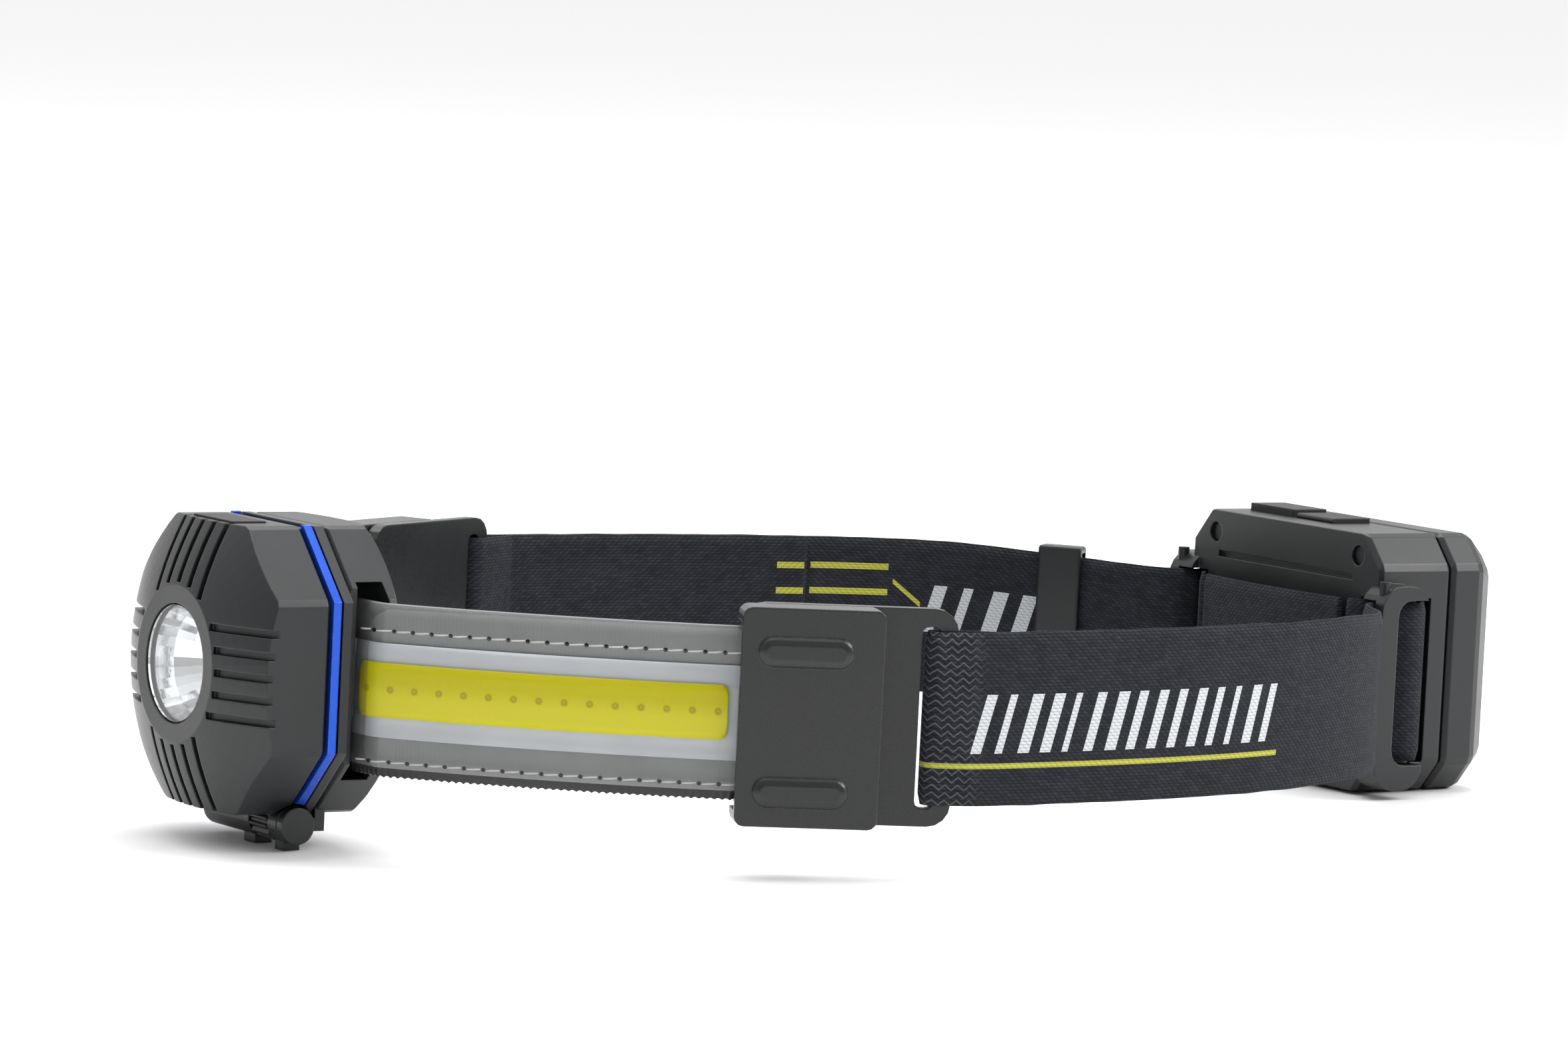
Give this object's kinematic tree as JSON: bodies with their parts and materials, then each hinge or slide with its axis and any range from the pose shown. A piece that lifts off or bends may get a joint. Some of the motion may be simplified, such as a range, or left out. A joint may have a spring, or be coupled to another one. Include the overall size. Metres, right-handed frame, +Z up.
{
  "type": "headlamp",
  "caption": "Headlamp with a tilting octagonal lamp, flexible side light bars, an elastic band with buckles and a rear battery box.",
  "frame": {"origin": "centre of the bounding box's base, on the surface the headlamp stands on", "axes": "+Z up; the lamp shines along -Y, leaning back 1.4 degrees as it stands; +X is the wearer's left; the battery box is at +Y"},
  "size_m": [0.1668, 0.2638, 0.056],
  "materials": {
    "housing": "fine matt black plastic",
    "ring_blue": "blue metallic-look plastic",
    "reflector": "bright plated",
    "clear": "clear plastic, clean",
    "rubber": "matt",
    "metal": "plain",
    "aluminium": "satin",
    "board": "lacquered circuit board",
    "white": "white flexible board",
    "phosphor": "yellow silicone",
    "knit": "heathered dark knit",
    "foam": "fabric-faced foam",
    "cell": "shrink-wrapped cell"
  },
  "bodies": {
    "headband": {"bracket": "housing", "bracket_back_plate": "housing", "forehead_pad": "foam", "hinge_pin": "metal", "hinge_cap": "housing", "bar_backing_left": "knit", "bar_backing_right": "knit", "bar_board_left": "white", "bar_board_right": "white", "bar_phosphor_left": "phosphor", "bar_phosphor_right": "phosphor", "bar_film_left": "clear", "bar_film_right": "clear", "buckle_plate_left": "housing", "buckle_plate_right": "housing", "buckle_lid_left": "housing", "buckle_lid_right": "housing", "elastic_band_left": "knit", "elastic_band_right": "knit", "band_bridge": "knit", "strap_adjuster": "housing", "battery_shell": "housing", "battery_cover": "housing", "box_gasket": "rubber", "battery_cell": "cell", "control_board": "board", "charging_port": "metal", "power_switch": "metal", "battery_screw_1": "metal", "battery_screw_2": "metal", "battery_screw_3": "metal", "battery_screw_4": "metal"},
    "lamp_head": {"lamp_shell": "housing", "front_lens": "clear", "lens_seal": "rubber", "reflector": "reflector", "led_chip": "phosphor", "led_board": "board", "heat_sink": "aluminium", "colour_ring": "ring_blue", "lamp_rear_cover": "housing", "lamp_screw_1": "metal", "lamp_screw_2": "metal", "lamp_screw_3": "metal", "lamp_screw_4": "metal", "mode_switch": "metal"},
    "mode_button": {"mode_button": "rubber"},
    "power_button": {"power_button": "rubber"},
    "port_cover": {"port_cover": "rubber"}
  },
  "joints": [
    {"name": "lamp_tilt", "type": "hinge", "parent": "headband", "child": "lamp_head", "pos_m": [0, -0.11546, 0.00444], "axis": [1, 0, 0], "range_deg": [0, 60]},
    {"name": "mode_press", "type": "slide", "parent": "lamp_head", "child": "mode_button", "axis": [0, -0.024, -0.9997], "range_m": [0, 0.0009], "stiffness_N_per_m": 1500, "springref_m": -0.0006},
    {"name": "power_press", "type": "slide", "parent": "headband", "child": "power_button", "axis": [0, -0.024, -0.9997], "range_m": [0, 0.0009], "stiffness_N_per_m": 1500, "springref_m": -0.0006},
    {"name": "port_cover_open", "type": "hinge", "parent": "headband", "child": "port_cover", "pos_m": [0, 0.11067, 0.04872], "axis": [1, 0, 0], "range_deg": [0, 100]}
  ]
}
